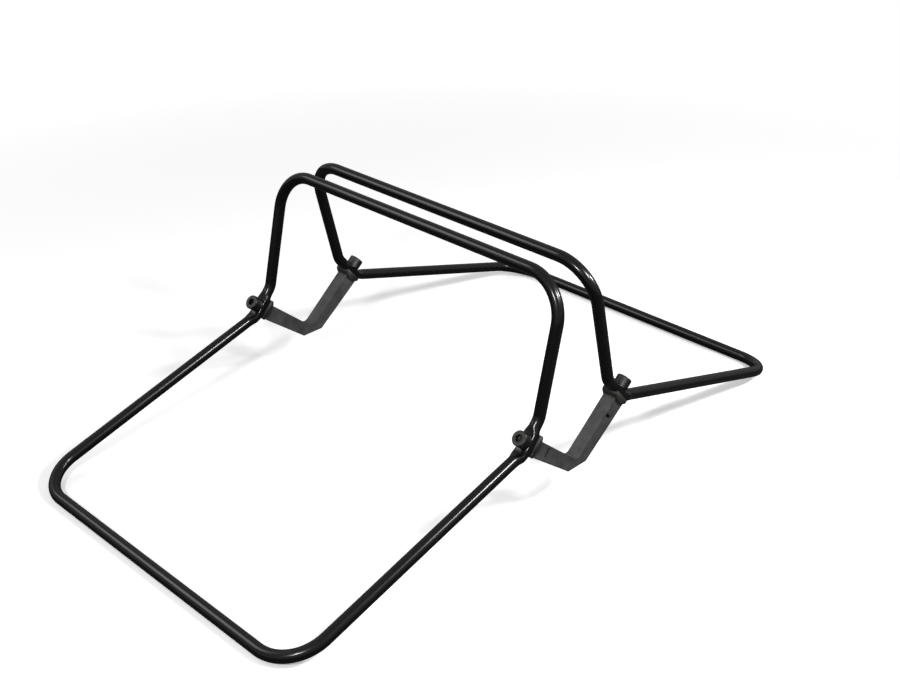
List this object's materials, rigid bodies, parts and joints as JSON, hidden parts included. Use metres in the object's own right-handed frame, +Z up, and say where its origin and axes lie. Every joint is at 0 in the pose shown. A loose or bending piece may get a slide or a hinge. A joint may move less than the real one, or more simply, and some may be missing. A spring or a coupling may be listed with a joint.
{
  "type": "floor bike rack",
  "caption": "Low floor stand that holds one bicycle wheel upright between mirrored bent rod loops joined by vee brackets.",
  "frame": {"origin": "on the floor, at the middle of the rack", "axes": "+X along the way the wheel rolls, +Y across the rack to the far foot bar, +Z up"},
  "size_m": [0.345, 0.6, 0.21],
  "materials": {
    "rod": "gloss black powder coat",
    "bracket": "fine matte moulding texture",
    "saddle": "fine matte moulding texture",
    "screw": "black oxide, satin",
    "nut": "black oxide, satin"
  },
  "bodies": {
    "stand": {"far_rod_loop": "rod", "near_rod_loop": "rod", "right_bracket": "bracket", "left_bracket": "bracket", "far_right_saddle": "saddle", "far_right_square_nut": "nut", "far_left_saddle": "saddle", "far_left_square_nut": "nut", "near_right_saddle": "saddle", "near_right_square_nut": "nut", "near_left_saddle": "saddle", "near_left_square_nut": "nut"},
    "far_right_washer_body": {"far_right_washer": "screw"},
    "far_right_screw_body": {"far_right_clamp_screw": "screw"},
    "far_left_washer_body": {"far_left_washer": "screw"},
    "far_left_screw_body": {"far_left_clamp_screw": "screw"},
    "near_right_washer_body": {"near_right_washer": "screw"},
    "near_right_screw_body": {"near_right_clamp_screw": "screw"},
    "near_left_washer_body": {"near_left_washer": "screw"},
    "near_left_screw_body": {"near_left_clamp_screw": "screw"}
  },
  "joints": [
    {"name": "far_right_washer_lift", "type": "slide", "parent": "stand", "child": "far_right_washer_body", "axis": [0, 0.7604, 0.6494], "range_m": [0, 0.0025]},
    {"name": "far_right_screw_turn", "type": "hinge", "parent": "far_right_washer_body", "child": "far_right_screw_body", "pos_m": [0.165, 0.0584, 0.08509], "axis": [0, 0.7604, 0.6494], "range_deg": [0, 1080]},
    {"name": "far_left_washer_lift", "type": "slide", "parent": "stand", "child": "far_left_washer_body", "axis": [0, 0.7604, 0.6494], "range_m": [0, 0.0025]},
    {"name": "far_left_screw_turn", "type": "hinge", "parent": "far_left_washer_body", "child": "far_left_screw_body", "pos_m": [-0.165, 0.0584, 0.08509], "axis": [0, 0.7604, 0.6494], "range_deg": [0, 1080]},
    {"name": "near_right_washer_lift", "type": "slide", "parent": "stand", "child": "near_right_washer_body", "axis": [0, -0.7604, 0.6494], "range_m": [0, 0.0025]},
    {"name": "near_right_screw_turn", "type": "hinge", "parent": "near_right_washer_body", "child": "near_right_screw_body", "pos_m": [0.165, -0.0584, 0.08509], "axis": [0, -0.7604, 0.6494], "range_deg": [0, 1080]},
    {"name": "near_left_washer_lift", "type": "slide", "parent": "stand", "child": "near_left_washer_body", "axis": [0, -0.7604, 0.6494], "range_m": [0, 0.0025]},
    {"name": "near_left_screw_turn", "type": "hinge", "parent": "near_left_washer_body", "child": "near_left_screw_body", "pos_m": [-0.165, -0.0584, 0.08509], "axis": [0, -0.7604, 0.6494], "range_deg": [0, 1080]}
  ],
  "couplings": [
    {"joint": "far_right_washer_lift", "follows": "far_right_screw_turn", "m_per_rad": 0.00012732},
    {"joint": "far_left_washer_lift", "follows": "far_left_screw_turn", "m_per_rad": 0.00012732},
    {"joint": "near_right_washer_lift", "follows": "near_right_screw_turn", "m_per_rad": 0.00012732},
    {"joint": "near_left_washer_lift", "follows": "near_left_screw_turn", "m_per_rad": 0.00012732}
  ]
}
